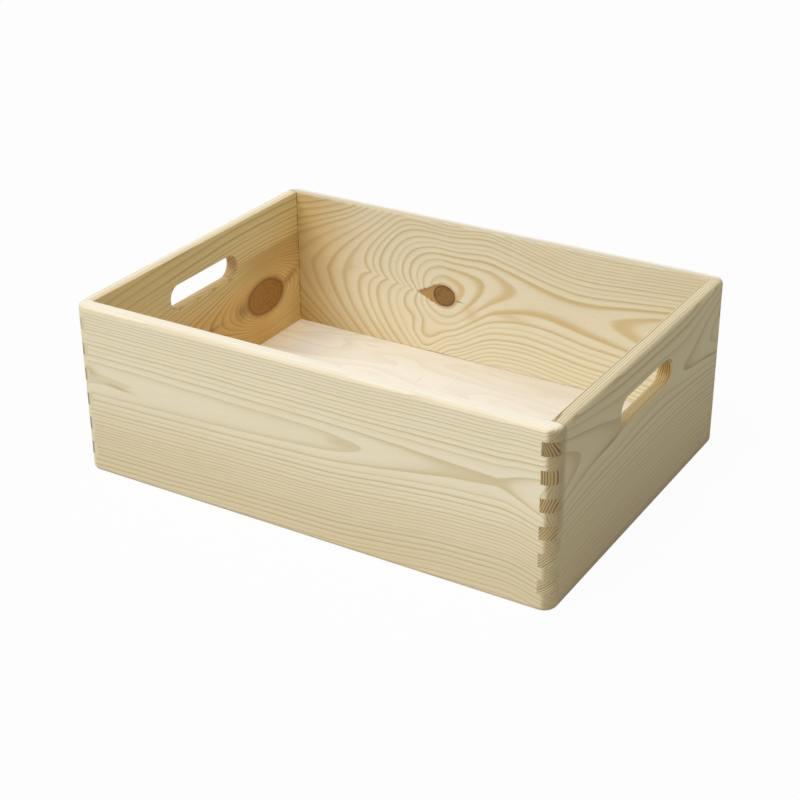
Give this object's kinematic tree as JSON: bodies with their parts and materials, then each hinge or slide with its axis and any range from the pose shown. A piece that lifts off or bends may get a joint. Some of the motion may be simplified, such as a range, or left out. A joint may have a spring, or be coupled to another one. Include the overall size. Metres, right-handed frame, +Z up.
{
  "type": "wooden crate",
  "caption": "Open pine crate with finger-jointed corners, rounded rims, a stadium handle slot in each end and a plywood bottom set in a groove, for papers and keepsakes.",
  "frame": {"origin": "on the ground under the middle of the crate", "axes": "+X along the length towards the right end board, +Y from the front board to the back board, +Z up"},
  "size_m": [0.4, 0.29, 0.14],
  "materials": {
    "pine": "bare sanded pine",
    "birch_plywood": "bare sanded birch plywood"
  },
  "bodies": {
    "root": {"front_board": "pine", "back_board": "pine", "left_end_board": "pine", "right_end_board": "pine", "bottom_panel": "birch_plywood"}
  },
  "joints": []
}
